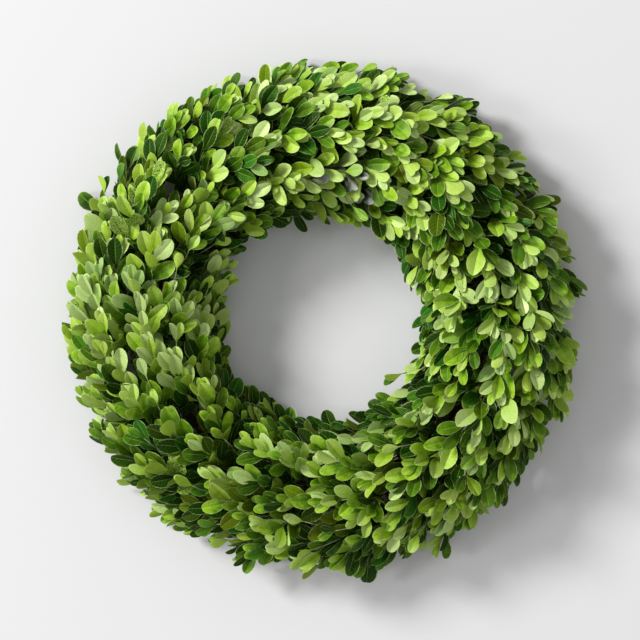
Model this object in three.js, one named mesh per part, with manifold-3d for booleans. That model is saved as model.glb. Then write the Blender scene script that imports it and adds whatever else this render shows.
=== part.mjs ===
// Boxwood wreath, lying on its flat back. Millimetres, +Z up; the origin is the middle of the
// ring, on the surface that the back lies on. Three hoops of vine make the ring. At each
// station round it a wire tie binds three bunches of boxwood on: one outside, one on top and
// one inside. All bunches run clockwise as seen from above, and each one covers the next tie.

import * as THREE from 'three';
import { mergeVertices } from 'three/addons/utils/BufferGeometryUtils.js';
import Module from 'manifold-3d';

const wasm = await Module();
wasm.setup();

// Driving dimensions. Points of a section are [out, up]: out from the middle of the vines,
// away from the hole, and up from the surface. Angles are in degrees.
const RING_RADIUS = 137;
const STATIONS = 14;
const VINE = 11; // across the flats of a vine hoop
const WIRE = 1;
const HEART_WIDE = 42; // half the width of the packed stems and inner leaves
const HEART_HIGH = 42; // their height above HEART_MIDDLE
const HEART_MIDDLE = 18;
const BLADE_LENGTH = 39; // what a leaf has beyond its root
const BLADE_WIDTH = 17.5;
const BLADE_THICK = 1.7; // along the rib
const ROOT_SUNK = 8;
const FLOOR_CLEAR = 1.5; // lowest point of a leaf
const SEAT_GAP = 0.3; // between pieces that rest on each other
const SWEEP_GAP = 0.9; // beside the hoops, whose straight runs cut inside the true circle

const STEP = 360 / STATIONS;
const STEM_HALF = 2.9; // how far the bare stems reach on each side of a tie
const HEART_END = STEP - STEM_HALF - 0.4;

const leafGreen = new THREE.MeshStandardMaterial({ color: 0x5c8a22, roughness: 0.5, metalness: 0 });
const bark = new THREE.MeshStandardMaterial({ color: 0x6b4c30, roughness: 0.9, metalness: 0 });
const wireGreen = new THREE.MeshStandardMaterial({ color: 0x2f3b2a, roughness: 0.45, metalness: 0.8 });

const radians = THREE.MathUtils.degToRad;
const lerp = THREE.MathUtils.lerp;
const mirrored = (section) => section.map(([out, up]) => [-out, up]).reverse();
const blend = (a, b, t) => a.map(([out, up], i) => [lerp(out, b[i][0], t), lerp(up, b[i][1], t)]);

// The same random draws on every run.
let seed = 67;
function draw(spread) {
  seed = (Math.imul(seed, 1664525) + 1013904223) >>> 0;
  return spread * ((seed / 2 ** 32) * 2 - 1);
}

// Round the ring, degrees run clockwise from the top of the wreath.
const UP = new THREE.Vector3(0, 0, 1);
const outwards = (degrees) => new THREE.Vector3(Math.sin(radians(degrees)), Math.cos(radians(degrees)), 0);
const onwards = (degrees) => new THREE.Vector3(Math.cos(radians(degrees)), -Math.sin(radians(degrees)), 0);

function onRing(degrees, [out, up]) {
  return outwards(degrees).multiplyScalar(RING_RADIUS + out).addScaledVector(UP, up);
}

// A closed body through sections of equal corner count, which either joins itself or has two
// ends. tip, if there is one, is a short edge that a three-cornered last section closes to.
function skin(sections, joined, tip = []) {
  const corners = sections[0].length;
  const last = sections.length - 1;
  const at = (section, corner) => (section % sections.length) * corners + (corner % corners);
  const faces = [];
  for (let s = 0; s < (joined ? sections.length : last); s++) {
    for (let c = 0; c < corners; c++) {
      faces.push([at(s, c), at(s + 1, c), at(s + 1, c + 1)]);
      faces.push([at(s, c), at(s + 1, c + 1), at(s, c + 1)]);
    }
  }
  for (let c = 1; c < corners - 1 && !joined; c++) {
    faces.push([at(0, 0), at(0, c), at(0, c + 1)]);
    if (!tip.length) faces.push([at(last, 0), at(last, c + 1), at(last, c)]);
  }
  if (tip.length) {
    const [left, rib, right] = [0, 1, 2].map((c) => at(last, c));
    const tipLeft = sections.length * corners;
    const tipRight = tipLeft + 1;
    faces.push([left, tipLeft, rib], [rib, tipLeft, tipRight], [rib, tipRight, right]);
    faces.push([right, tipRight, tipLeft], [right, tipLeft, left]);
  }
  return facingOut([...sections.flat(), ...tip], faces);
}

function facingOut(points, faces) {
  const volume = faces.reduce((sum, [a, b, c]) => {
    return sum + points[a].dot(new THREE.Vector3().crossVectors(points[b], points[c]));
  }, 0);
  const turned = volume < 0 ? faces.map(([a, b, c]) => [a, c, b]) : faces;
  const geometry = new THREE.BufferGeometry().setFromPoints(points);
  return geometry.setIndex(turned.flat());
}

function solid(geometry) {
  const merged = mergeVertices(geometry, 1e-4);
  return new wasm.Manifold(
    new wasm.Mesh({
      numProp: 3,
      vertProperties: merged.attributes.position.array,
      triVerts: new Uint32Array(merged.index.array),
    }),
  );
}

function geometryOf(body) {
  const mesh = body.getMesh();
  const geometry = new THREE.BufferGeometry();
  geometry.setAttribute('position', new THREE.BufferAttribute(mesh.vertProperties, 3));
  return geometry.setIndex(new THREE.BufferAttribute(mesh.triVerts, 1));
}

const wreath = new THREE.Group();

function add(name, geometry, material) {
  const mesh = new THREE.Mesh(geometry, material);
  mesh.name = name;
  wreath.add(mesh);
}

// Vine hoops: two side by side on the surface and one on top of them, six-sided with a flat
// underneath. The wire bites into the two lower ones, which keeps it off the surface.
const VINE_SIDE = VINE / 2 / Math.cos(Math.PI / 6);
const LOW_OUT = VINE_SIDE + SEAT_GAP / 2;
const TOP_UP = 1.5 * VINE + SEAT_GAP;
const VINES_HIGH = 2 * VINE + SEAT_GAP;
const BITE_DEEP = 2.2;
const BITE_HALF = 0.8;

function vineSection([out, up], bite) {
  return [0, 1, 2, 3, 4, 5].map((corner) => {
    const turn = radians(60 * corner);
    const underneath = corner > 3;
    return [out + VINE_SIDE * Math.cos(turn), up + VINE_SIDE * Math.sin(turn) + (underneath ? bite : 0)];
  });
}

function hoop(middle, bitten) {
  const bites = [[-BITE_HALF, 0], [0, BITE_DEEP], [BITE_HALF, 0], [STEP / 2, 0]];
  const plain = [[0, 0], [STEP / 2, 0]];
  const sections = [];
  for (let station = 0; station < STATIONS; station++) {
    for (const [past, bite] of bitten ? bites : plain) {
      const section = vineSection(middle, bite);
      sections.push(section.map((corner) => onRing(station * STEP + past, corner)));
    }
  }
  return skin(sections, true);
}

add('vine_hoop_outer', hoop([LOW_OUT, VINE / 2], true), bark);
add('vine_hoop_inner', hoop([-LOW_OUT, VINE / 2], true), bark);
add('vine_hoop_top', hoop([0, TOP_UP], false), bark);

// Rows of bunches. A bunch's bare stems lie in a nook of the vines under the tie, then swell
// into its heart: packed stems and inner leaves, which its outer leaves stand out of. skinAt
// gives the heart's outer corners as angles up from level. Each course of leaves is how far
// past the tie it grows, how far its pairs lean off the heart, and how many pairs it has.
// faceUp turns the leaves' faces from square to the heart towards the sky.
const sideNook = [
  [LOW_OUT + VINE_SIDE + SWEEP_GAP, VINE / 2 + 0.6],
  [LOW_OUT + VINE_SIDE / 2 + SWEEP_GAP, VINE + SWEEP_GAP],
  [VINE_SIDE + SWEEP_GAP, TOP_UP + 0.4],
];
const sideStems = [[10.6, 22], [17.6, 13], [16.6, 8]];
const topNook = [[-3.2, VINES_HIGH + SEAT_GAP], [3.2, VINES_HIGH + SEAT_GAP]];
const topStems = [[7.4, 25.2], [4.6, 28], [-4.6, 28], [-7.4, 25.2]];

const rows = [
  {
    name: 'outer',
    nook: sideNook,
    stems: sideStems,
    skinAt: [50, 27, 3],
    courses: [[7, 48, 3], [13.5, 44, 2], [19.5, 30, 3]],
    faceUp: 0.7,
  },
  {
    name: 'top',
    nook: topNook,
    stems: topStems,
    skinAt: [54, 77, 103, 126],
    courses: [[7, 44, 2], [13.5, 40, 3], [19.5, 24, 2]],
    faceUp: 0,
  },
  {
    name: 'inner',
    nook: mirrored(sideNook),
    stems: mirrored(sideStems),
    skinAt: [177, 153, 130],
    courses: [[7, 56, 2], [13.5, 52, 1], [19.5, 40, 2]],
    faceUp: 0.7,
  },
];

// How far a bunch has swollen from its stems to its full heart, by degrees past its tie.
const SWELL = [[-STEM_HALF, 0], [STEM_HALF, 0], [6, 0.85], [16.5, 1], [HEART_END, 0.5]];

function swellAt(past) {
  const next = SWELL.findIndex(([stop]) => stop >= past);
  const [[before, from], [after, to]] = [SWELL[next - 1], SWELL[next]];
  return lerp(from, to, (past - before) / (after - before));
}

function heartCorners(row, swell) {
  const full = row.skinAt.map((phi) => [
    HEART_WIDE * Math.cos(radians(phi)),
    HEART_MIDDLE + HEART_HIGH * Math.sin(radians(phi)),
  ]);
  return blend(row.stems, full, swell);
}

function bunchHeart(tie, row) {
  const sections = SWELL.map(([past, swell]) => {
    return [...row.nook, ...heartCorners(row, swell)].map((corner) => onRing(tie + past, corner));
  });
  return skin(sections, false);
}

// A leaf blade: narrow at its root, widest past its middle, raised along the rib, arched back
// and blunt at its tip. grow makes it bigger all round, to test that it clears its neighbours.
const ROOT_WIDTH = 0.2; // widths are shares of the full width
const WIDEST_AT = 0.64; // share of the length
const TIP_WIDTH = 0.42;
const ARCH = 0.1; // drop of the tip, as a share of the length

function blade(root, [ahead, face], size, grow = 0) {
  const across = new THREE.Vector3().crossVectors(ahead, face);
  const whole = BLADE_LENGTH * size + ROOT_SUNK;
  const half = (BLADE_WIDTH * size) / 2;
  const point = (along, out, lift) =>
    root.clone()
      .addScaledVector(ahead, whole * along)
      .addScaledVector(across, out)
      .addScaledVector(face, lift - ARCH * whole * along * along);
  const sections = [[0, ROOT_WIDTH], [WIDEST_AT, 1]].map(([along, wide]) => [
    point(along, -(half + grow) * wide, -grow * wide),
    point(along, 0, (BLADE_THICK + grow) * wide),
    point(along, (half + grow) * wide, -grow * wide),
  ]);
  const tipAt = 1 + grow / whole;
  const tipHalf = TIP_WIDTH * half + grow;
  return skin(sections, false, [point(tipAt, -tipHalf, 0), point(tipAt, tipHalf, 0)]);
}

// Where a leaf pair grows: its root inside the heart, and the ways out of the heart and along
// the ring there. share runs from 0 to 1 over the heart's outer corners.
function growthPoint(row, tie, past, share) {
  const corners = heartCorners(row, swellAt(past));
  const edges = corners.length - 1;
  const edge = Math.min(Math.floor(share * edges), edges - 1);
  const t = share * edges - edge;
  const surface = [0, 1].map((k) => lerp(corners[edge][k], corners[edge + 1][k], t));
  const phi = radians(lerp(row.skinAt[edge], row.skinAt[edge + 1], t));
  const normal = outwards(tie + past)
    .multiplyScalar(Math.cos(phi) / HEART_WIDE)
    .addScaledVector(UP, Math.sin(phi) / HEART_HIGH)
    .normalize();
  const root = onRing(tie + past, surface).addScaledVector(normal, -ROOT_SUNK);
  return { root, normal, along: onwards(tie + past) };
}

// The ways that one leaf points and faces: leaning off the heart, splayed to one side, turned
// towards the sky and rolled a little.
function leafWays({ normal, along }, lean, splay, faceUp, roll) {
  const ahead = along.clone().multiplyScalar(Math.cos(radians(lean)))
    .addScaledVector(normal, Math.sin(radians(lean)));
  const face = normal.clone().multiplyScalar(Math.cos(radians(lean)))
    .addScaledVector(along, -Math.sin(radians(lean)));
  ahead.applyAxisAngle(face, radians(splay));
  face.addScaledVector(UP, faceUp);
  face.addScaledVector(ahead, -face.dot(ahead)).normalize();
  face.applyAxisAngle(ahead, radians(roll));
  return [ahead, face];
}

// What grows: every heart first, then the leaves in three courses. A leaf tries wider and wider
// bends, then a smaller size, until it clears all hearts and leaves but its own heart and twin.
const bunches = [];
for (let station = 0; station < STATIONS; station++) {
  for (const row of rows) {
    const name = `bunch_${row.name}_${String(station + 1).padStart(2, '0')}`;
    const heart = solid(bunchHeart(station * STEP, row));
    bunches.push({ name, station, row, heart, leaves: [] });
  }
}

const BENDS = [];
for (const shrink of [1, 0.85]) {
  for (const reach of [0, 6, 12, 18]) {
    for (let turn = 0; turn < (reach ? 360 : 60); turn += 60) {
      BENDS.push([reach * Math.cos(radians(turn)), reach * Math.sin(radians(turn)), shrink]);
    }
  }
}
const BEND_GAP = 0.25;

const grown = bunches.map(({ heart }) => ({ body: heart, box: heart.boundingBox() }));

function clears(trial, heart, spot) {
  return grown.every((other) => {
    if (other.body === heart || other.spot === spot) return true;
    const apart = [0, 1, 2].some((k) =>
      trial.box.min[k] > other.box.max[k] || other.box.min[k] > trial.box.max[k]);
    return apart || trial.body.intersect(other.body).volume() <= 0;
  });
}

function growLeaf({ row, heart, leaves }, spot, { lean, splay, roll, aside, size }) {
  const across = new THREE.Vector3().crossVectors(spot.along, spot.normal);
  const root = spot.root.clone().addScaledVector(across, aside);
  for (const [moreLean, moreSplay, shrink] of BENDS) {
    const ways = leafWays(spot, lean + moreLean, splay + moreSplay, row.faceUp, roll);
    const body = solid(blade(root, ways, size * shrink, BEND_GAP));
    const trial = { body, box: body.boundingBox(), spot };
    if (trial.box.min[2] < FLOOR_CLEAR || !clears(trial, heart, spot)) continue;
    grown.push(trial);
    leaves.push(solid(blade(root, ways, size * shrink)));
    return;
  }
}

// Pairs alternate as they do up a stem: one spreads to both sides, the next has one leaf above
// the other. WANDER is how far each draw may stray.
const SPREAD = 24;
const SPREAD_ROOTS = 2.2;
const STACK = 17;
const WANDER = { past: 0.7, share: 0.05, lean: 6, splay: 8, roll: 12, size: 0.08 };

for (const course of [0, 1, 2]) {
  for (const bunch of bunches) {
    const { row, station } = bunch;
    const [past, lean, pairs] = row.courses[course];
    for (let pair = 0; pair < pairs; pair++) {
      const share = (pair + 0.5) / pairs;
      const spot = growthPoint(row, station * STEP, past + draw(WANDER.past), share + draw(WANDER.share));
      const pairLean = lean + draw(WANDER.lean);
      const pairSplay = draw(WANDER.splay);
      const stacked = (pair + course + station) % 2 === 0;
      for (const way of [-1, 1]) {
        growLeaf(bunch, spot, {
          lean: pairLean + (stacked ? way * STACK : 0),
          splay: pairSplay + (stacked ? 0 : way * SPREAD),
          roll: draw(WANDER.roll),
          aside: stacked ? 0 : -way * SPREAD_ROOTS,
          size: 1 + draw(WANDER.size),
        });
      }
    }
  }
}

for (const { name, heart, leaves } of bunches) {
  const whole = leaves.reduce((joined, leaf) => joined.add(leaf), heart);
  add(name, geometryOf(whole), leafGreen);
}

// Wire ties: one closed loop at each station, round the vines and the stems of three bunches.
const tieSide = [[13.6, SEAT_GAP + WIRE], [19.4, 11.6], [6, 28.5]];
const tieInside = [...tieSide, ...mirrored(tieSide)];

function grownOutline(outline, by) {
  return outline.map((corner, i) => {
    const point = new THREE.Vector2(...corner);
    const before = new THREE.Vector2(...outline.at(i - 1)).sub(point).normalize();
    const after = new THREE.Vector2(...outline[(i + 1) % outline.length]).sub(point).normalize();
    const half = Math.acos(before.dot(after)) / 2;
    return point.addScaledVector(before.add(after).normalize(), -by / Math.sin(half)).toArray();
  });
}

function tieLoop(degrees) {
  const shape = new THREE.Shape(grownOutline(tieInside, WIRE).map((corner) => new THREE.Vector2(...corner)));
  shape.holes.push(new THREE.Path(tieInside.map((corner) => new THREE.Vector2(...corner))));
  const loop = new THREE.ExtrudeGeometry(shape, { depth: WIRE, bevelEnabled: false });
  const stood = new THREE.Matrix4().makeBasis(outwards(degrees), UP, onwards(degrees));
  stood.setPosition(onRing(degrees, [0, 0]));
  return loop.translate(0, 0, -WIRE / 2).applyMatrix4(stood);
}

for (let station = 0; station < STATIONS; station++) {
  add(`tie_${String(station + 1).padStart(2, '0')}`, tieLoop(station * STEP), wireGreen);
}

export default wreath;
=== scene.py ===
import math

import bpy
import numpy as np
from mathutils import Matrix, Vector


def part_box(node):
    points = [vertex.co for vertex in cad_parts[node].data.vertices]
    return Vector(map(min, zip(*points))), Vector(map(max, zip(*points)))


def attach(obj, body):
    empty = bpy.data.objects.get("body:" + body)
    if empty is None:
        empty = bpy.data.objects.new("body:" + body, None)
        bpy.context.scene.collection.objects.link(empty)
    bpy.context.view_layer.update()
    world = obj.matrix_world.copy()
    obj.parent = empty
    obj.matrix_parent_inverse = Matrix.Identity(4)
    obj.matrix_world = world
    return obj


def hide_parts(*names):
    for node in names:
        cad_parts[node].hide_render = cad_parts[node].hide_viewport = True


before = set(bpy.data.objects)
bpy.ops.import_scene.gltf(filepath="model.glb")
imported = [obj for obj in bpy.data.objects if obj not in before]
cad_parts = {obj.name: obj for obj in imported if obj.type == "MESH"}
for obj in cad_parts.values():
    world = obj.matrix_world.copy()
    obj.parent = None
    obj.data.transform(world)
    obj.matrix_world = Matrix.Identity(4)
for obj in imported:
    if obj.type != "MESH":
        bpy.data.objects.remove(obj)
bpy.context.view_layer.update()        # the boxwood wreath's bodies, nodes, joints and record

MM = 0.001               # sizes are in millimetres and angles in degrees, if nothing else is said

# Camera
# It looks straight down on the wreath, from far enough that the ring's height hardly spreads
# its outline. The picture's scale is held at the level where the leaves reach out furthest.
FRAME_PIXELS = 640
MM_PER_PIXEL = 0.785
RING_MIDDLE_PIXEL = (321, 318)
WIDEST_LEVEL = 25
CAMERA_HEIGHT = 1600
CAMERA_SEES_TO = 20000
FULL_FRAME_FILM = 36

shown_half = FRAME_PIXELS * MM_PER_PIXEL / 2
camera_data = bpy.data.cameras.new("overhead_camera")
camera_data.sensor_width = FULL_FRAME_FILM
camera_data.lens = FULL_FRAME_FILM / 2 * (CAMERA_HEIGHT - WIDEST_LEVEL) / shown_half
camera_data.clip_end = CAMERA_SEES_TO * MM
camera = bpy.data.objects.new("overhead_camera", camera_data)
bpy.context.scene.collection.objects.link(camera)
aside = (FRAME_PIXELS / 2 - RING_MIDDLE_PIXEL[0]) * MM_PER_PIXEL
above = (RING_MIDDLE_PIXEL[1] - FRAME_PIXELS / 2) * MM_PER_PIXEL
camera.location = Vector((aside, above, CAMERA_HEIGHT)) * MM
bpy.context.scene.camera = camera

# Floor and light
# A plain pale table top. A big soft box stands to the upper left of the picture, over a third
# of the way up the sky, and a weaker one to its left, so shadows fall to the right and a
# little down. The white room fills them.
FLOOR_HALF = 3000
FLOOR_PALE = (0.7, 0.7, 0.704, 1)
FLOOR_DULL = 0.9
FLOOR_SHINE = 0.1
SOFT_BOX_SIZE = 1250
SOFT_BOX_AWAY = 5500
SOFT_BOXES = [           # degrees up, degrees anticlockwise from the picture's right, watts
    ("upper_left_soft_box", 35, 149, 300),
    ("left_soft_box", 38, 182, 76),
]
ROOM_WHITE = (1, 1, 1, 1)
ROOM_LIGHT = 0.5

floor_mesh = bpy.data.meshes.new("table_top")
corners = [(-1, -1, 0), (1, -1, 0), (1, 1, 0), (-1, 1, 0)]
floor_mesh.from_pydata([Vector(corner) * FLOOR_HALF * MM for corner in corners], [], [(0, 1, 2, 3)])
floor = bpy.data.objects.new("table_top", floor_mesh)
bpy.context.scene.collection.objects.link(floor)
table_paint = bpy.data.materials.new("pale_table")
table_paint.use_nodes = True
table_shader = table_paint.node_tree.nodes["Principled BSDF"]
table_shader.inputs["Base Color"].default_value = FLOOR_PALE
table_shader.inputs["Roughness"].default_value = FLOOR_DULL
table_shader.inputs["Specular IOR Level"].default_value = FLOOR_SHINE
floor_mesh.materials.append(table_paint)

for name, degrees_up, degrees_round, watts in SOFT_BOXES:
    soft_box_data = bpy.data.lights.new(name, "AREA")
    soft_box_data.size = SOFT_BOX_SIZE * MM
    soft_box_data.energy = watts
    soft_box = bpy.data.objects.new(name, soft_box_data)
    bpy.context.scene.collection.objects.link(soft_box)
    climb = math.radians(degrees_up)
    turn = math.radians(degrees_round)
    to_soft_box = Vector((
        math.cos(turn) * math.cos(climb),
        math.sin(turn) * math.cos(climb),
        math.sin(climb),
    ))
    soft_box.location = to_soft_box * SOFT_BOX_AWAY * MM
    soft_box.rotation_mode = "QUATERNION"
    soft_box.rotation_quaternion = to_soft_box.to_track_quat("Z", "Y")

room = bpy.data.worlds.new("white_room")
room.use_nodes = True
room.node_tree.nodes["Background"].inputs["Color"].default_value = ROOM_WHITE
room.node_tree.nodes["Background"].inputs["Strength"].default_value = ROOM_LIGHT
bpy.context.scene.world = room
bpy.context.scene.view_settings.view_transform = "Standard"

# Vine hoops
# Three hoops of dry vine, two side by side on the table and one on top of them, each bent
# round and let into itself. The bark is brown and split along the vine, less so at the knots,
# and the wire has bitten into the undersides of the lower two.
top_low, top_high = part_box("vine_hoop_top")
low_low, low_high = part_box("vine_hoop_outer")
STATIONS = sum(name.startswith("tie_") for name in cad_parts)
STEP = 360 / STATIONS
FLAT_SPAN = 60                                         # of the frame's six-sided hoops
VINE_HALF = (top_high.z - top_low.z) / 2 / MM          # across the flats
VINE_CORNER = VINE_HALF / math.cos(math.radians(FLAT_SPAN / 2))
RING = (top_high.x - top_low.x) / 2 / MM - VINE_CORNER
LOW_OUT = (low_high.x - low_low.x) / 2 / MM - VINE_CORNER - RING
TOP_UP = (top_high.z + top_low.z) / 2 / MM
HOOP_RINGS = 728
HOOP_SIDES = 18
HOOPS = [                # how far out from the ring and up it lies, and whether the wire bites in
    ("outer", LOW_OUT, VINE_HALF, True),
    ("inner", -LOW_OUT, VINE_HALF, True),
    ("top", 0, TOP_UP, False),
]
KNOTS = 9
KNOTS_STRAY = 0.3        # as a share of the way from one to the next
KNOT_HALF = 2.2
KNOT_FILLS = 0.8         # how much of the splits' depth goes at a knot
SPLIT_DEEP = 0.5
SPLIT_LIMITS = (0.02, 1.2)
STRANDS = 5              # broad strips of bark round the vine, with how far they set the depth
STRAND_RELIEF = 0.45
STRAND_WINDS = 4         # how often they wind round the vine on their way round the hoop
STRAND_SWAY = 30         # and how far and how often they sway from that
STRAND_SWAYS = 3
FINE_STRANDS = 13        # narrow strips
FINE_RELIEF = 0.25
FINE_SHIFTS = 6          # by how many strips they shift on their way round the hoop
FINE_SWAY = 40           # and how far and how often they sway, with 360 for a strip's width
FINE_SWAYS = 9
WAVES = [(17, 3), (41, -2)]      # waves along the hoop, and round the vine
WAVE_RELIEF = 0.15
SEAT_FLATTER = 0.6       # how much less split the bark is beneath, where it's pressed flat
SEAT_HALF = 25
BITE_DEEP = 2.2          # how far the wire bites in
BITE_HALF = 0.8
BITE_STEEP = 1.4
UNDERSIDE = -0.3         # the sine of a side's angle, below which the wire bites in
BARK_DARK = (0.035, 0.02, 0.011, 1)
BARK_PALE = (0.27, 0.17, 0.098, 1)
UP = np.array([0.0, 0.0, 1.0])
draws = np.random.default_rng(1407)


def outwards(degrees):
    """The way out from the wreath's middle, at an angle clockwise from its top."""
    turn = np.radians(np.asarray(degrees, float))
    return np.stack([np.sin(turn), np.cos(turn), np.zeros_like(turn)], -1)


def onwards(degrees):
    """The way clockwise round the wreath there."""
    turn = np.radians(np.asarray(degrees, float))
    return np.stack([np.cos(turn), -np.sin(turn), np.zeros_like(turn)], -1)


def on_ring(degrees, out, up):
    """A point, from how far it lies outside the ring's middle line and above the table."""
    reach = RING + np.asarray(out, float)
    return outwards(degrees) * reach[..., None] + UP * np.asarray(up, float)[..., None]


def unit(vectors):
    return vectors / np.linalg.norm(vectors, axis=-1, keepdims=True)


def tube_faces(rings, sides, joined):
    """Quads between one ring of points and the next, with the ends closed if they don't join."""
    this = np.arange(rings if joined else rings - 1)[:, None]
    side = np.arange(sides)[None, :]
    after = (this + 1) % rings
    beside = (side + 1) % sides
    corners = [this * sides + side, after * sides + side, after * sides + beside, this * sides + beside]
    faces = np.stack(corners, -1).reshape(-1, 4).tolist()
    if not joined:
        faces.append(list(range(sides)))
        faces.append([(rings - 1) * sides + k for k in reversed(range(sides))])
    return faces


def add_piece(name, points, faces, materials):
    mesh = bpy.data.meshes.new(name)
    mesh.from_pydata((np.asarray(points).reshape(-1, 3) * MM).tolist(), [], faces)
    mesh.shade_smooth()
    for material in materials:
        mesh.materials.append(material)
    piece = bpy.data.objects.new(name, mesh)
    bpy.context.scene.collection.objects.link(piece)
    return piece


def finish_named(name):
    """A new material, its shader, and ways to add a node, wire one on and make a colour ramp."""
    material = bpy.data.materials.new(name)
    material.use_nodes = True
    tree = material.node_tree
    shader = tree.nodes["Principled BSDF"]

    def add(kind, inputs=None, **settings):
        """A node. Each of its inputs is a value or another node's socket."""
        made = tree.nodes.new("ShaderNode" + kind)
        for setting, value in settings.items():
            setattr(made, setting, value)
        for socket, value in (inputs or {}).items():
            if isinstance(value, bpy.types.NodeSocket):
                tree.links.new(value, made.inputs[socket])
            else:
                made.inputs[socket].default_value = value
        return made

    def wire(socket, shader_input):
        tree.links.new(socket, shader.inputs[shader_input])

    def ramp(value, tones):
        """The colour for a value, from tones that each give a value and its colour."""
        made = add("ValToRGB", {"Fac": value})
        elements = made.color_ramp.elements
        for element, (position, colour) in zip(elements, (tones[0], tones[-1])):
            element.position = position
            element.color = colour
        for position, colour in tones[1:-1]:
            elements.new(position).color = colour
        return made.outputs["Color"]

    return material, shader, add, wire, ramp


def bark_finish():
    material, shader, add, wire, ramp = finish_named("vine_bark")
    place = add("TexCoord").outputs["Object"]
    patches = add("TexNoise", {"Vector": place, "Scale": 90, "Detail": 6, "Roughness": 0.62})
    flecks = add("TexNoise", {"Vector": place, "Scale": 700, "Detail": 3})
    blended = add("Mix", {0: 0.3, 2: patches.outputs["Fac"], 3: flecks.outputs["Fac"]}, data_type="FLOAT")
    wire(ramp(blended.outputs[0], [(0.3, BARK_DARK), (0.68, BARK_PALE)]), "Base Color")
    dullness = add("MapRange", {"Value": flecks.outputs["Fac"], "To Min": 0.72, "To Max": 0.98})
    wire(dullness.outputs["Result"], "Roughness")
    relief = add("Bump", {"Height": blended.outputs[0], "Strength": 0.7, "Distance": 0.0012})
    wire(relief.outputs["Normal"], "Normal")
    shader.inputs["Specular IOR Level"].default_value = 0.25
    return material


bark = bark_finish()
for name, out, up, bitten in HOOPS:
    degrees = np.arange(HOOP_RINGS)[:, None] * 360 / HOOP_RINGS
    side = np.arange(HOOP_SIDES)[None, :] * 360 / HOOP_SIDES
    from_flat = np.radians((side % FLAT_SPAN) - FLAT_SPAN / 2)
    knots_at = (np.arange(KNOTS) + draws.uniform(-KNOTS_STRAY, KNOTS_STRAY, KNOTS)) * 360 / KNOTS
    from_knot = (degrees[..., None] - knots_at + 180) % 360 - 180
    knot = np.minimum(np.exp(-(from_knot / KNOT_HALF) ** 2).sum(-1), 1)
    sway = STRAND_SWAY * np.sin(np.radians(degrees * STRAND_SWAYS + draws.uniform(0, 360)))
    strand = np.cos(np.radians(STRANDS * (side + (sway + degrees * STRAND_WINDS))))
    fine_sway = FINE_SWAY * np.sin(np.radians(FINE_SWAYS * degrees))
    fine = np.cos(np.radians(FINE_STRANDS * side + fine_sway + degrees * FINE_SHIFTS))
    wave = sum(np.sin(np.radians(degrees * along + across * side)) for along, across in WAVES)
    relief = 1 - STRAND_RELIEF * strand - FINE_RELIEF * fine - WAVE_RELIEF * wave
    split = np.clip(SPLIT_DEEP * (1 - KNOT_FILLS * knot) * relief, *SPLIT_LIMITS)
    seated = np.abs(side - 270) < SEAT_HALF
    reach = VINE_HALF / np.cos(from_flat) - split * (1 - SEAT_FLATTER * seated)
    section_out = out + reach * np.cos(np.radians(side))
    section_up = up + reach * np.sin(np.radians(side))
    if bitten:
        past_tie = np.abs((degrees + STEP / 2) % STEP - STEP / 2)
        lift = BITE_DEEP * np.clip(BITE_STEEP * (1 - past_tie / BITE_HALF), 0, 1)
        section_up = np.where(np.sin(np.radians(side)) < UNDERSIDE, section_up + lift, section_up)
    points = on_ring(degrees, section_out, section_up)
    piece = add_piece(f"vine_{name}", points, tube_faces(HOOP_RINGS, HOOP_SIDES, True), [bark])
    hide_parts(f"vine_hoop_{name}")
    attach(piece, "root")

# Boxwood sprigs
# Cut boxwood, preserved while it is still green. A bunch is 8 to 12 thin woody stems, tied near
# their cut ends, which run on clockwise and fan out until their leafy ends stand at the wreath's
# face. At each station of the ring one bunch lies outside, one on top and one inside.
HEART_MIDDLE = 18        # height of the middle that the bunches fan out from
STEM_HALF = 0.62         # half a stem's thickness, at its cut end
STEM_TIP = 0.5           # what is left of it at the tip
STEM_SIDES = 5
STEM_RINGS = 13
STEM_BROWN = (0.13, 0.12, 0.06, 1)
STEM_GREEN = (0.3, 0.34, 0.16, 1)
TIPS_FROM = 13           # how far past the tie the shortest sprigs end
TIP_REACH = 53           # how far the stem ends stand from the middle of the bunches
REACH_VARIES = 3.6
SIDEWAYS_VARIES = 0.16   # how far a sprig's tip strays sideways, as a slope
START_FANS = 0.2         # how much of its way from the tie is already fanned out
TIED_STIFF = 0.36        # how long a stem stays straight past the tie and before its tip,
TIP_STIFF = 0.42         # as a share of the way between them
EDGE_FAN = 15            # sprigs that fan out lower than this, outside or at the hole,
EDGE_LIFT = 0.12         # lift their tips by this slope
CUT_BEHIND = (3.2, 7)    # how far before the tie a stem is cut
CUT_STRAYS = 1           # how far the cut end strays from the stem's line, to the sides or up
CUT_DROPS = 0.8          # and down
TIED_LONG = 5.4          # half the length of the flat oval that the tied stems fill
TIED_THICK = 1.7
GOLDEN_TURN = math.radians(137.5)
ROWS = [                 # fan angles grow from the outer edge, over the top, to the hole
    dict(
        name="outer", fan=(-9, 52), lean=(40, 22), ranks=4, files=3, further=0.3,
        tied=(13.4, 13.4), tied_flat=118,
    ),
    dict(
        name="top", fan=(52, 128), lean=(14, 14), ranks=3, files=3, further=3,
        tied=(0, 25.7), tied_flat=0,
    ),
    dict(
        name="inner", fan=(189, 128), lean=(32, 18), ranks=2, files=4, further=-4.3,
        tied=(-13.4, 13.4), tied_flat=62,
    ),
]
RANKS_STRAY = 0.32       # as a share of the way from one to the next
FILES_STRAY = 0.3
LEAN_VARIES = 5
# painted light and shade: by fan angle, leaves on top are painted palest, those low on the outer side
# darker and those low in the hole darkest, as light falls on the ring
SHADE_ANGLES = [-9, 25, 52, 70, 90, 128, 148, 189]
FAN_SHADES_PAINTED_LIGHT = [0.34, 0.38, 0.44, 0.56, 0.56, 0.62, 0.3, 0.08]    # 0 deepest green, 1 palest
SPRIG_SHADES_VARY = 0.13
LEAF_SHADES_VARY = 0.23
# painted shade: from the third pair on, each pair deeper in the bunch is painted darker than the one above
# it
DEPTH_PAINTED_SHADE = dict(outer=0.14, top=0.14, inner=0.21)       # from the third pair on, each than the last
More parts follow.
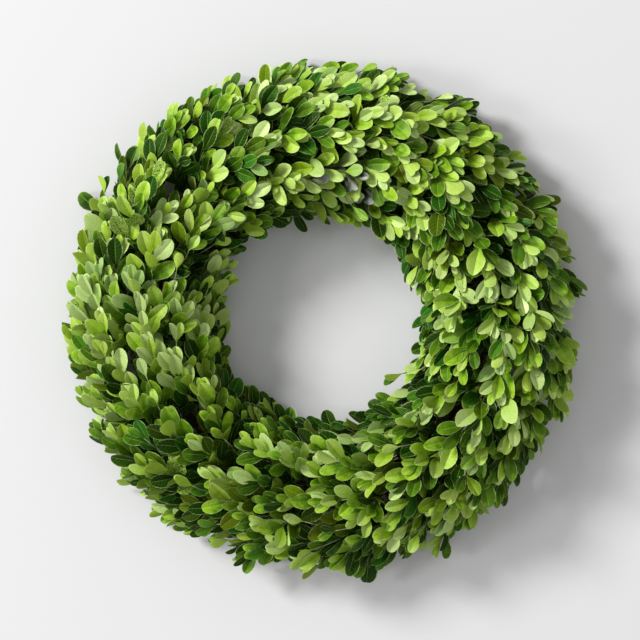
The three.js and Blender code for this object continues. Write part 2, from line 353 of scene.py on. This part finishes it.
# painted light: the left side, which faces the soft boxes, is painted paler; the top is paler too, and the
# bottom and lower left darker
PARTS = [                # degrees from the top, spread, how much paler, how much more alike
    (12, 30, 0.08, 0),
    (175, 25, -0.05, 0.02),
    (222, 32, -0.11, 0.06),
    (272, 22, 0.25, 0),
]
WARMTH = 0.5             # 0 blue-green, 1 olive
WARMTH_VARIES = 0.17
BARE_SHARE = 0.06        # sprigs that lost their youngest leaves, and how much further those stand out
BARE_LOST = (0, 1)
BARE_LONGER = 8
THIN_SHARE = 0.12        # sprigs that lost the leaves below their youngest, so that the stem shows
THIN_LOST = (1, 2, 3)
THIN_LONGER = 4


def stem_finish():
    material, shader, add, wire, ramp = finish_named("young_stem")
    place = add("TexCoord").outputs["Object"]
    patches = add("TexNoise", {"Vector": place, "Scale": 220, "Detail": 4})
    wire(ramp(patches.outputs["Fac"], [(0.35, STEM_BROWN), (0.65, STEM_GREEN)]), "Base Color")
    relief = add("Bump", {"Height": patches.outputs["Fac"], "Strength": 0.5, "Distance": 0.0004})
    wire(relief.outputs["Normal"], "Normal")
    shader.inputs["Roughness"].default_value = 0.7
    return material


def tied_place(row, number, count):
    """Where a stem passes through the tie, as out and up: the stems fill a flat oval."""
    share = math.sqrt((number + 0.5) / count)
    along_oval = TIED_LONG * share * math.cos(number * GOLDEN_TURN)
    through_oval = TIED_THICK * share * math.sin(number * GOLDEN_TURN)
    turn = math.radians(row["tied_flat"])
    out = row["tied"][0] + along_oval * math.cos(turn) - through_oval * math.sin(turn)
    up = row["tied"][1] + along_oval * math.sin(turn) + through_oval * math.cos(turn)
    return out, up


def sprig_path(tie, row, number, count, past, angle, lean, longer):
    """Points from a stem's cut end, through the tie, to its growing tip."""
    out, up = tied_place(row, number, count)
    turn = math.radians(angle)
    end_way = outwards(tie + past) * math.cos(turn) + UP * math.sin(turn)
    reach = TIP_REACH + row["further"] + longer + draws.normal(0, REACH_VARIES)
    tip = on_ring(tie + past, reach * math.cos(turn), HEART_MIDDLE + reach * math.sin(turn))
    sideways = np.cross(onwards(tie + past), end_way) * draws.normal(0, SIDEWAYS_VARIES)
    ahead = onwards(tie + past) * math.cos(math.radians(lean)) + end_way * math.sin(math.radians(lean))
    at_edge = angle < EDGE_FAN or angle > 180 - EDGE_FAN
    ahead = unit(ahead + sideways + UP * (EDGE_LIFT if at_edge else 0))
    held = on_ring(tie, out, up)
    fanning = outwards(tie) * math.cos(turn) + UP * math.sin(turn)
    start = unit(onwards(tie) + START_FANS * fanning)
    away = np.linalg.norm(tip - held)
    t = np.linspace(0, 1, STEM_RINGS - 2)[:, None]
    handles = [held, held + start * away * TIED_STIFF, tip - ahead * away * TIP_STIFF, tip]
    weights = [(1 - t) ** 3, 3 * t * (1 - t) ** 2, 3 * t * t * (1 - t), t ** 3]
    bent = sum(weight * handle for weight, handle in zip(weights, handles))
    behind = draws.uniform(*CUT_BEHIND)
    cut_out = out + draws.uniform(-CUT_STRAYS, CUT_STRAYS)
    cut_up = up + draws.uniform(-CUT_DROPS, CUT_STRAYS)
    cut = on_ring(tie - behind, cut_out, cut_up)
    middle = on_ring(tie - behind / 2, out, up)
    return np.vstack([cut, middle, bent])


def round_tube(path, square_to, half, sides):
    """Rings of points round a path, which never runs straight along square_to."""
    way = unit(np.gradient(path, axis=0))
    side = unit(np.cross(way, square_to))
    other = np.cross(side, way)
    turn = np.arange(sides) * math.tau / sides
    ring = side[:, None] * np.cos(turn)[None, :, None] + other[:, None] * np.sin(turn)[None, :, None]
    return path[:, None] + ring * half


sprigs = []
for station in range(STATIONS):
    for row in ROWS:
        count = row["ranks"] * row["files"]
        first, last = row["fan"]
        first_lean, last_lean = row["lean"]
        for number in range(count):
            rank, file = divmod(number, row["files"])
            across = (rank + 0.5 + draws.uniform(-RANKS_STRAY, RANKS_STRAY)) / row["ranks"]
            along = (file + 0.5 * (rank % 2) + draws.uniform(-FILES_STRAY, FILES_STRAY)) / row["files"]
            angle = first + (last - first) * across
            lean = first_lean + (last_lean - first_lean) * across + draws.normal(0, LEAN_VARIES)
            past = TIPS_FROM + STEP * along
            drawn = draws.random()
            lost = ()
            longer = 0
            if drawn < BARE_SHARE:
                lost = BARE_LOST
                longer = BARE_LONGER
            elif drawn < BARE_SHARE + THIN_SHARE:
                lost = THIN_LOST
                longer = THIN_LONGER
            path = sprig_path(station * STEP, row, number, count, past, angle, lean, longer)
            degrees = station * STEP + past
            shade = draws.normal(np.interp(angle, SHADE_ANGLES, FAN_SHADES_PAINTED_LIGHT), SPRIG_SHADES_VARY)
            vary = LEAF_SHADES_VARY
            for middle, spread, paler, alike in PARTS:
                share = math.exp(-(((degrees - middle + 180) % 360 - 180) / spread) ** 2)
                shade += paler * share
                vary -= alike * share
            sprigs.append(dict(
                bunch=f"{row['name']}_{station + 1:02d}",
                path=path,
                degrees=degrees,
                angle=angle,
                shade=shade,
                vary=vary,
                depth_shade=DEPTH_PAINTED_SHADE[row["name"]],
                warmth=draws.normal(WARMTH, WARMTH_VARIES),
                lost=lost,
            ))
young_stem = stem_finish()

# Leaves
# They grow in opposite pairs, each pair square to the next. Most are 14 to 28 mm long and a
# little under half as wide, blunt, folded along the rib and bent back at the tip. Each one
# turns a little where it would otherwise grow through another.
PAIR_PLACES = [0.5, 7, 14.5, 22.5, 31, 40, 49, 58.5]    # from the sprig's tip, down its stem
PAIR_LONG = [15, 20.5, 24, 25.5, 25.5, 24, 22, 22]
PAIR_OPEN = [13, 22, 27, 30, 32, 33, 33, 33]            # degrees between leaf and stem
BARE_RINGS = 4           # rings of the stem, from its cut end, that bear no leaves
LONG_VARIES = 0.1        # as a share of the length
OPEN_VARIES = 6
ROLL_VARIES = 12
SKEW_VARIES = 14         # how far a pair strays round the stem from square to the next
LEAF_WARMTH_VARIES = 0.17
HALF_WIDE = (0.19, 0.255)        # half the width, as a share of the length
WIDEST_LATE = 1.6        # over 1, the blade is widest past its middle
TIP_BLUNT = 0.58         # 0 for a slim tip, 1 for a square one
ARCH = 0.07              # how far the tip bends back, as a share of the length
SIDES_RISE = 0.38        # how far a leaf's folded sides rise, as a share of its half width
SKYWARD = 0.8            # how far leaves turn their faces from square to the wreath to the sky
SKYWARD_VARIES = 0.17
UPPER_OPEN = 0.5         # the share of its angle that a leaf on top of its stem opens
UPPER_TURNED = 0.22      # share of those leaves that show their undersides
BESIDE_CUPPED = 0.25     # how far leaves at their stem's sides turn their faces to it
TABLE_GAP = 2.6
HIGHEST = 95
CHANGES = [              # how much more a leaf may open and roll to miss others, dearest last
    (0, 0), (0, 18), (0, -18), (-9, 0), (10, 0), (-9, 20), (-9, -20), (10, 20), (10, -20),
    (0, 36), (0, -36), (-16, 0), (-14, 32), (-14, -32),
]
CHANGE_COST = 0.25       # of the first change, counted in places where leaves cut each other
NOT_ALLOWED = 100        # the cost of a leaf too near the table or too high
MOST_CUTS = 3            # a leaf that would meet others in more places than this doesn't grow
MORE_CUTS = 0.6          # how many more places each older pair, deeper in the wreath, may have
NEAR = 0.47              # leaves are tested whose middles are nearer than this share of both lengths
ROOT_CLEAR = 0.05        # the share of a leaf, from its root, where a cut doesn't count
FOLD_ENDS = 1.2          # how far past the rib the fold is taken to rise, in half widths
SPECKLED_SHARE = 0.012
BLACKENED_MIDDLE = (21, 109)     # here some of the youngest leaves dried nearly black
BLACKENED_HALF = (23, 21)
BLACKENED_SHARE = 0.45
BLACKENED_PAIRS = 3
PROBES_ALONG = [0.15, 0.35, 0.55, 0.75, 0.97]    # where points on a leaf are tested
PROBES_ACROSS = [-0.9, 0, 0.9]


def blade_width(along):
    """Half the blade's width at a share of its length, as a share of its widest."""
    wide = np.sin(math.pi * np.clip(along, 0, 1) ** WIDEST_LATE)
    return np.clip(wide, 0, 1) ** (1 - TIP_BLUNT * np.clip(along, 0, 1))


probe_along, probe_across = np.meshgrid(PROBES_ALONG, PROBES_ACROSS, indexing="ij")
probe_across = (probe_across * blade_width(probe_along)).ravel()
probes = np.arange(probe_along.size).reshape(probe_along.shape)
probe_along = probe_along.ravel()
middle_probe = probes[len(PROBES_ALONG) // 2, len(PROBES_ACROSS) // 2]
lines_from = np.concatenate([probes[:-1].ravel(), probes[:, :-1].ravel()])
lines_to = np.concatenate([probes[1:].ravel(), probes[:, 1:].ravel()])


def probe_points(root, ways, long, wide):
    """Points over a leaf's face. ways holds its ahead, across and face directions."""
    local = np.stack([
        long[..., None] * probe_along,
        wide[..., None] * probe_across,
        wide[..., None] * SIDES_RISE * np.abs(probe_across) - ARCH * long[..., None] * probe_along ** 2,
    ], -1)
    return root[..., None, :] + local @ ways


def cuts_through(points, root, ways, long, wide):
    """How many of the lines between one leaf's points pass through another leaf's blade."""
    local = (points - root) @ ways.swapaxes(-1, -2)
    x = local[..., 0] / long
    y = local[..., 1] / wide
    z = local[..., 2] + ARCH * long * x * x - wide * SIDES_RISE * np.minimum(np.abs(y), FOLD_ENDS)
    z_from, z_to = z[..., lines_from], z[..., lines_to]
    through = z_from * z_to < 0
    share = np.where(through, z_from / np.where(through, z_from - z_to, 1), 0)
    x_cut = x[..., lines_from] + share * (x[..., lines_to] - x[..., lines_from])
    y_cut = y[..., lines_from] + share * (y[..., lines_to] - y[..., lines_from])
    inside = (x_cut > ROOT_CLEAR) & (x_cut < 1) & (np.abs(y_cut) < blade_width(x_cut))
    return (through & inside).sum(-1)


class Foliage:
    """The leaves grown so far."""

    def __init__(self, room_for):
        self.count = 0
        self.root = np.zeros((room_for, 3))
        self.ways = np.zeros((room_for, 3, 3))
        self.long = np.zeros(room_for)
        self.wide = np.zeros(room_for)
        self.points = np.zeros((room_for, probes.size, 3))
        self.shade = np.zeros(room_for)
        self.warmth = np.zeros(room_for)
        self.age = np.zeros(room_for)            # 0 fresh, 1 speckled, 2 blackened
        self.bunch = []

    def met(self, root, ways, long, wide, points):
        """For each way that a leaf could point, how often it and the leaves near it would cut."""
        middle = points.mean(axis=(0, 1))
        apart = ((self.points[:self.count, middle_probe] - middle) ** 2).sum(-1)
        near = np.flatnonzero(apart < (NEAR * (self.long[:self.count] + long)) ** 2)
        if not len(near):
            return np.zeros(len(ways))
        into_others = cuts_through(
            points[:, None],
            self.root[near][None, :, None],
            self.ways[near][None],
            self.long[near][None, :, None],
            self.wide[near][None, :, None],
        )
        into_this = cuts_through(self.points[near][None], root, ways[:, None], long, wide)
        return into_others.sum(-1) + into_this.sum(-1)

    def keep(self, root, ways, long, wide, points, shade, warmth, age, bunch):
        n = self.count
        self.root[n], self.ways[n], self.points[n] = root, ways, points
        self.long[n], self.wide[n] = long, wide
        self.shade[n], self.warmth[n], self.age[n] = shade, warmth, age
        self.bunch.append(bunch)
        self.count += 1


def turned(vectors, axis, angle):
    """vectors turned about an axis of unit length, by an angle in degrees."""
    c, s = math.cos(math.radians(angle)), math.sin(math.radians(angle))
    return vectors * c + np.cross(axis, vectors) * s + axis * (vectors @ axis)[..., None] * (1 - c)


def leaf_ways(stem_way, aside_way, sky_way, opened, shows_under, toward_stem, roll):
    """The directions of a leaf that opens from its stem towards aside_way."""
    ahead = unit(stem_way * math.cos(math.radians(opened)) + aside_way * math.sin(math.radians(opened)))
    face = unit(sky_way - ahead * (sky_way @ ahead))
    face = unit(face - aside_way * toward_stem)
    face = unit(face - ahead * (face @ ahead))
    face = turned(face, ahead, roll)
    if shows_under:
        face = -face
    return np.stack([ahead, np.cross(ahead, face), face])


grown = Foliage(len(sprigs) * 2 * len(PAIR_PLACES))
for level, place in enumerate(PAIR_PLACES):
    for number, sprig in enumerate(sprigs):
        from_tip_down = sprig["path"][::-1]
        lengths = np.linalg.norm(np.diff(from_tip_down, axis=0), axis=1).cumsum()
        after = int(np.searchsorted(lengths, place))
        if after >= STEM_RINGS - BARE_RINGS or level in sprig["lost"]:
            continue
        gone = place - (lengths[after - 1] if after else 0)
        stem_way = unit(from_tip_down[after] - from_tip_down[after + 1])
        node = from_tip_down[after] - stem_way * gone
        turn = math.radians(sprig["angle"])
        square = outwards(sprig["degrees"]) * math.cos(turn) + UP * math.sin(turn)
        sky_way = unit(square + SKYWARD * UP + draws.normal(0, SKYWARD_VARIES, 3))
        sky_way = unit(sky_way - stem_way * (sky_way @ stem_way))
        beside = np.cross(stem_way, sky_way)
        stacked = (level + number) % 2 == 0      # one leaf above the stem and one below
        skew = draws.normal(0, SKEW_VARIES)
        for way in (1, -1):
            aside_way = turned((sky_way if stacked else beside) * way, stem_way, skew)
            opened = PAIR_OPEN[level] + draws.normal(0, OPEN_VARIES)
            on_top = stacked and way > 0
            if on_top:
                opened *= UPPER_OPEN
            shows_under = on_top and draws.random() < UPPER_TURNED
            toward_stem = 0 if stacked else BESIDE_CUPPED
            long = PAIR_LONG[level] * (1 + draws.normal(0, LONG_VARIES))
            wide = long * draws.uniform(*HALF_WIDE)
            roll = draws.normal(0, ROLL_VARIES)
            ways = np.stack([
                leaf_ways(
                    stem_way, aside_way, sky_way,
                    opened + more_open, shows_under, toward_stem, roll + more_roll,
                )
                for more_open, more_roll in CHANGES
            ])
            points = probe_points(node, ways, np.full(len(ways), long), np.full(len(ways), wide))
            cost = grown.met(node, ways, long, wide, points) + CHANGE_COST * np.arange(len(CHANGES)) ** 0.5
            heights = points[..., 2]
            cost = cost + NOT_ALLOWED * (heights.min(-1) < TABLE_GAP)
            cost = cost + NOT_ALLOWED * (heights.max(-1) > HIGHEST)
            best = int(np.argmin(cost))
            # leaves lower on the stem, deeper in the bunch, get painted shade
            shade = sprig["shade"] + draws.normal(0, sprig["vary"]) - sprig["depth_shade"] * max(0, level - 1)
            warmth = sprig["warmth"] + draws.normal(0, LEAF_WARMTH_VARIES)
            from_patch = (points[best, middle_probe, :2] - BLACKENED_MIDDLE) / BLACKENED_HALF
            age = 1 if draws.random() < SPECKLED_SHARE else 0
            in_patch = level < BLACKENED_PAIRS and np.linalg.norm(from_patch) < 1
            if in_patch and draws.random() < BLACKENED_SHARE:
                age = 2
            if cost[best] <= MOST_CUTS + MORE_CUTS * level:
                grown.keep(node, ways[best], long, wide, points[best], shade, warmth, age, sprig["bunch"])

# Leaf finish
# The upper side is satin green with a pale rib, faint side veins and a thin pale edge, partly its
# own margin and partly a painted highlight where the edge catches the light. The underside is
# paler, yellower and duller, with a painted shadow along its rib. Leaves run from deep green to
# pale yellow-green, with painted shade at each leaf's base and on the pairs deeper in the bunch;
# a few are speckled, and some have dried to a greyish black, with grey patches partly a painted sheen.
DEEP_GREEN = (0.008, 0.04, 0.0003, 1)
MID_GREEN = (0.088, 0.21, 0.002, 1)
YELLOW_GREEN = (0.26, 0.45, 0.012, 1)
LIME_GREEN = (0.38, 0.56, 0.07, 1)
LIGHT_GREEN = (0.43, 0.58, 0.185, 1)
GREENS = [
    (0.22, DEEP_GREEN),
    (0.475, MID_GREEN),
    (0.585, YELLOW_GREEN),
    (0.71, LIME_GREEN),
    (0.92, LIGHT_GREEN),
]
OLIVE = (0.2, 0.26, 0.002, 1)
BLUE_GREEN = (0.024, 0.18, 0.009, 1)
RIB_GREEN = (0.5, 0.68, 0.15, 1)
# the thin pale edge: partly the leaf's own margin, partly a painted highlight where the edge catches the
# light
MARGIN_AND_RIM_HIGHLIGHT = (0.6, 0.74, 0.3, 1)
UNDER_GREEN = (0.39, 0.56, 0.055, 1)
SPECK_DARK = (0.065, 0.17, 0.004, 1)
SPECK_PALE = (0.4, 0.56, 0.1, 1)
BLACKENED = (0.011, 0.013, 0.012, 1)
# grey patches on blackened leaves: partly their own dried grey, partly a painted sheen
BLACKENED_GREY_AND_SHEEN = (0.25, 0.27, 0.26, 1)
SHEEN_TINT = (0.93, 1.0, 0.62, 1)
OLIVE_WARMTH = (0.62, 1.0)       # the warmth where a leaf starts to turn, and has turned
BLUE_WARMTH = (0.46, -0.05)
MOST_OLIVE = 0.42        # how much of a colour or a marking shows where it is strongest
MOST_BLUE = 0.48
UNDER_PALER = 0.5
VEINS_SHOW = 0.06
RIB_SHOWS = 0.28
EDGE_SHOWS = (0.15, 0.65)
RIB_SPAN = (0.065, 0.02)         # where rib and edge start, and are full, in half widths
EDGE_SPAN = (0.88, 0.96)
CLOUDED = 0.35           # how far soft patches change the shade
GRAIN_LIGHTENS = (0.82, 1.16)
# painted shade: each leaf is darker at its base, by the stem, than at its tip
BASE_PAINTED_SHADE = 0.24         # how much lighter a leaf is at its tip than at its base
SIDE_VEINS = 9
VEINS_SLANT = 0.16
UPPER_DULL = (0.34, 0.48)
UNDER_DULL = (0.46, 0.58)
DEEP_SHEEN = 0.12        # deep green leaves hardly shine, and pale ones more
UPPER_SHEEN = 0.68
UNDER_SHEEN = 0.3


def leaf_finish(name, under):
    material, shader, add, wire, ramp = finish_named(name)
    shade = add("Attribute", attribute_name="shade").outputs["Fac"]
    warmth = add("Attribute", attribute_name="warmth").outputs["Fac"]
    along = add("Attribute", attribute_name="along").outputs["Fac"]
    across = add("Attribute", attribute_name="across").outputs["Fac"]
    age = add("Attribute", attribute_name="age").outputs["Fac"]
    place = add("TexCoord").outputs["Object"]

    def work(operation, *values):
        inputs = dict(enumerate(values))
        return add("Math", inputs, operation=operation).outputs[0]

    def mix(factor, a, b):
        made = add("Mix", {0: factor, 6: a, 7: b}, data_type="RGBA")
        return made.outputs[2]

    def ranged(value, low, high, to_low, to_high):
        inputs = {"Value": value, "From Min": low, "From Max": high, "To Min": to_low, "To Max": to_high}
        return add("MapRange", inputs, interpolation_type="SMOOTHSTEP").outputs["Result"]

    clouds = add("TexNoise", {"Vector": place, "Scale": 160, "Detail": 3}).outputs["Fac"]
    grain = add("TexNoise", {"Vector": place, "Scale": 1500, "Detail": 2}).outputs["Fac"]
    specks = add("TexNoise", {"Vector": place, "Scale": 1100, "Detail": 2}).outputs["Fac"]
    cloudy = work("ADD", shade, work("MULTIPLY", work("SUBTRACT", clouds, 0.5), CLOUDED))
    # the tone, with painted shade towards the leaf's base
    tone_with_base_shade = work("ADD", cloudy, work("MULTIPLY", along, BASE_PAINTED_SHADE))
    colour = mix(ranged(warmth, *OLIVE_WARMTH, 0, MOST_OLIVE), ramp(tone_with_base_shade, GREENS), OLIVE)
    colour = mix(ranged(warmth, *BLUE_WARMTH, 0, MOST_BLUE), colour, BLUE_GREEN)
    off_rib = work("ABSOLUTE", across)
    slanted = work("SUBTRACT", along, work("MULTIPLY", off_rib, VEINS_SLANT))
    waves = work("SINE", work("MULTIPLY", slanted, SIDE_VEINS * math.tau))
    veins = ranged(waves, 0.75, 1.0, 0, 1)
    rib = ranged(off_rib, *RIB_SPAN, 0, 1)
    margin_and_highlight = ranged(off_rib, *EDGE_SPAN, 0, 1)
    speckled = mix(ranged(specks, 0.44, 0.54, 0, 1), SPECK_DARK, SPECK_PALE)
    # blackened leaves, with grey patches that are partly a painted sheen
    blackened = mix(ranged(work("ADD", clouds, along), 0.95, 1.6, 0, 1), BLACKENED, BLACKENED_GREY_AND_SHEEN)
    if under:
        colour = mix(UNDER_PALER, colour, UNDER_GREEN)
    colour = mix(work("MULTIPLY", veins, VEINS_SHOW), colour, RIB_GREEN)
    colour = mix(work("GREATER_THAN", age, 0.5), colour, speckled)
    # pale edge, partly margin and partly painted highlight on the rim
    colour = mix(work("MULTIPLY", margin_and_highlight, ranged(clouds, 0.35, 0.65, *EDGE_SHOWS)), colour, MARGIN_AND_RIM_HIGHLIGHT)
    # on the underside the rib line is painted darker: a painted shadow along the raised rib
    colour = mix(work("MULTIPLY", rib, RIB_SHOWS), colour, MID_GREEN if under else RIB_GREEN)
    colour = mix(work("GREATER_THAN", age, 1.5), colour, blackened)
    fine = add("HueSaturation", {"Value": ranged(grain, 0.3, 0.7, *GRAIN_LIGHTENS), "Color": colour})
    wire(fine.outputs["Color"], "Base Color")
    wire(ranged(clouds, 0.3, 0.7, *(UNDER_DULL if under else UPPER_DULL)), "Roughness")
    height = work("ADD", work("MULTIPLY", veins, -0.5), work("MULTIPLY", grain, 0.35))
    relief = add("Bump", {"Height": height, "Strength": 0.35, "Distance": 0.00025})
    wire(relief.outputs["Normal"], "Normal")
    sheen = ranged(tone_with_base_shade, 0.25, 0.9, DEEP_SHEEN, UNDER_SHEEN if under else UPPER_SHEEN)
    wire(sheen, "Specular IOR Level")
    shader.inputs["Specular Tint"].default_value = SHEEN_TINT
    return material


leaf_upper = leaf_finish("leaf_upper", False)
leaf_under = leaf_finish("leaf_under", True)

# Bunches
# The sprigs of a bunch and all their leaves are one piece, as they are tied. A leaf is a thin
# closed blade on a short stalk, and no two have quite the same fold, bend and twist.
LEAF_STATIONS = 10
ACROSS = np.array([-1, -0.5, 0, 0.5, 1, 0])      # left edge, over the face, right edge, rib beneath
OVER = np.array([0, 0.35, 0.15, 0.35, 0, -0.65])
LEAF_SIDES = len(ACROSS)
RIB_BENEATH = 5
CREASED = (0, 2, 4)      # the edges and the fold
PER_LEAF = LEAF_STATIONS * LEAF_SIDES
LEAF_THICK = 0.3
STALK_HALF = 0.45        # half the width of the leaf's stalk
STALK_TAPERS = 0.4
FOLDS = (0.36, 0.8)      # how steeply the sides rise from the rib
CURLS = (0.08, 0.28)     # how much of that is lost again towards the edge
ARCH_VARIES = 0.035
BOW_VARIES = 0.035       # how far the tip strays sideways, as a share of the length
TWIST_VARIES = 9
NOTCH = 0.014            # how deep the tip is notched, as a share of the length
NOTCH_FROM = 0.99
UPPER = 0                # where each finish is in FINISHES
UNDER = 1
STEM = 2
FINISHES = [leaf_upper, leaf_under, young_stem]

shape_draws = np.random.default_rng(23)
along_leaf = (1 - np.cos(math.pi * np.arange(LEAF_STATIONS) / (LEAF_STATIONS - 1))) / 2
*leaf_quads, root_end, tip_end = tube_faces(LEAF_STATIONS, LEAF_SIDES, False)
leaf_quads = np.array(leaf_quads)
quad_finish = np.where((leaf_quads % LEAF_SIDES == RIB_BENEATH).any(axis=1), UNDER, UPPER)


def leaf_blades(chosen):
    """The points of every chosen leaf: leaf, station, side of the section, and x, y, z."""
    many = len(chosen)
    long = grown.long[chosen][:, None, None]
    wide = grown.wide[chosen][:, None, None]
    along = along_leaf[None, :, None]
    half = np.maximum(wide * blade_width(along), STALK_HALF * (1 - STALK_TAPERS * along))
    fold = shape_draws.uniform(*FOLDS, many)[:, None, None]
    curl = shape_draws.uniform(*CURLS, many)[:, None, None]
    arch = shape_draws.normal(ARCH, ARCH_VARIES, many)[:, None, None]
    bow = shape_draws.normal(0, BOW_VARIES, many)[:, None, None]
    twist = np.radians(shape_draws.normal(0, TWIST_VARIES, many))[:, None, None] * along
    off_rib = np.abs(ACROSS)[None, None, :]
    lift = half * (fold * off_rib - curl * off_rib ** 2) + OVER * LEAF_THICK
    flat = half * ACROSS
    notch = NOTCH * (1 - off_rib) * (along > NOTCH_FROM)
    x = long * (along - notch)
    y = flat * np.cos(twist) - lift * np.sin(twist) + bow * long * along ** 2
    z = flat * np.sin(twist) + lift * np.cos(twist) - arch * long * along ** 2
    local = np.stack([x, y, z], -1)
    return grown.root[chosen][:, None, None, :] + np.einsum("nsrk,nkj->nsrj", local, grown.ways[chosen])


bunch_of_leaf = np.array(grown.bunch)
for row in ROWS:
    for station in range(STATIONS):
        bunch = f"{row['name']}_{station + 1:02d}"
        chosen = np.flatnonzero(bunch_of_leaf == bunch)
        leaves = len(chosen)
        blades = leaf_blades(chosen).reshape(-1, 3)
        starts = np.arange(leaves) * PER_LEAF
        faces = (leaf_quads[None] + starts[:, None, None]).reshape(-1, 4).tolist()
        finish = np.tile(quad_finish, leaves).tolist()
        for start in starts.tolist():
            faces.extend([[start + k for k in end] for end in (root_end, tip_end)])
            finish.extend([UNDER, UPPER])
        points = [blades]
        used = len(blades)
        for sprig in sprigs:
            if sprig["bunch"] != bunch:
                continue
            half = STEM_HALF * np.linspace(1, STEM_TIP, STEM_RINGS)[:, None, None]
            stem = round_tube(sprig["path"], UP, half, STEM_SIDES).reshape(-1, 3)
            stem_faces = tube_faces(STEM_RINGS, STEM_SIDES, False)
            faces.extend([[used + k for k in face] for face in stem_faces])
            finish.extend([STEM] * len(stem_faces))
            points.append(stem)
            used += len(stem)
        piece = add_piece(f"sprigs_{bunch}", np.vstack(points), faces, FINISHES)
        mesh = piece.data
        mesh.polygons.foreach_set("material_index", finish)
        measures = {
            "shade": np.repeat(grown.shade[chosen], PER_LEAF),
            "warmth": np.repeat(grown.warmth[chosen], PER_LEAF),
            "age": np.repeat(grown.age[chosen], PER_LEAF),
            "along": np.tile(np.repeat(along_leaf, LEAF_SIDES), leaves),
            "across": np.tile(ACROSS, leaves * LEAF_STATIONS),
        }
        on_stems = np.zeros(used - len(blades))
        for measure, values in measures.items():
            layer = mesh.attributes.new(measure, "FLOAT", "POINT")
            layer.data.foreach_set("value", np.concatenate([values, on_stems]).astype(np.float32))
        ends = np.zeros(len(mesh.edges) * 2, np.int64)
        mesh.edges.foreach_get("vertices", ends)
        one_end, other_end = ends.reshape(-1, 2).T
        lengthwise = (one_end % LEAF_SIDES == other_end % LEAF_SIDES) & (other_end < len(blades))
        sharp = mesh.attributes.new("sharp_edge", "BOOLEAN", "EDGE")
        sharp.data.foreach_set("value", lengthwise & np.isin(one_end % LEAF_SIDES, CREASED))
        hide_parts(f"bunch_{bunch}")
        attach(piece, "root")

# Wire ties
# Green florist's wire, a millimetre thick, wound three times round the vines and the stems of
# three bunches at each station and pulled tight, so that it bites into the lower vines.
WIRE_HALF = 0.5
WIRE_SIDES = 6
WIRE_TURNS = 3
WIRE_PITCH = 1.05
TURN_RINGS = 48
EASED_OVER = 2           # rings on each side that ease a corner
TIE_CORNERS = [(13.6, 0.82), (19.9, 11.6), (6.4, 29), (-6.4, 29), (-19.9, 11.6), (-13.6, 0.82)]
WIRE_DARK = (0.02, 0.045, 0.018, 1)
WIRE_WORN = (0.07, 0.11, 0.05, 1)


def wire_turn():
    """One turn of the wire round the vines, as out and up, with its corners eased."""
    points = np.array(TIE_CORNERS + TIE_CORNERS[:1])
    run = np.concatenate([[0], np.linalg.norm(np.diff(points, axis=0), axis=1).cumsum()])
    at = np.linspace(0, run[-1], TURN_RINGS, endpoint=False)
    loop = np.stack([np.interp(at, run, points[:, 0]), np.interp(at, run, points[:, 1])], -1)
    shifts = range(-EASED_OVER, EASED_OVER + 1)
    eased = sum(np.roll(loop, shift, axis=0) for shift in shifts) / len(shifts)
    lowest = points[:, 1].min()
    return eased[:, 0], np.maximum(eased[:, 1], lowest)


def wire_finish():
    material, shader, add, wire, ramp = finish_named("green_wire")
    place = add("TexCoord").outputs["Object"]
    worn = add("TexNoise", {"Vector": place, "Scale": 500, "Detail": 3})
    wire(ramp(worn.outputs["Fac"], [(0.4, WIRE_DARK), (0.72, WIRE_WORN)]), "Base Color")
    gloss = add("MapRange", {"Value": worn.outputs["Fac"], "To Min": 0.3, "To Max": 0.55})
    wire(gloss.outputs["Result"], "Roughness")
    shader.inputs["Metallic"].default_value = 0.3
    return material


green_wire = wire_finish()
turn_out, turn_up = wire_turn()
wire_rings = WIRE_TURNS * TURN_RINGS
drift = (np.arange(wire_rings) / TURN_RINGS - WIRE_TURNS / 2) * WIRE_PITCH
for station in range(STATIONS):
    tie = station * STEP
    wound = on_ring(tie, np.tile(turn_out, WIRE_TURNS), np.tile(turn_up, WIRE_TURNS))
    points = round_tube(wound + onwards(tie) * drift[:, None], onwards(tie), WIRE_HALF, WIRE_SIDES)
    faces = tube_faces(wire_rings, WIRE_SIDES, False)
    piece = add_piece(f"wire_{station + 1:02d}", points, faces, [green_wire])
    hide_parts(f"tie_{station + 1:02d}")
    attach(piece, "root")
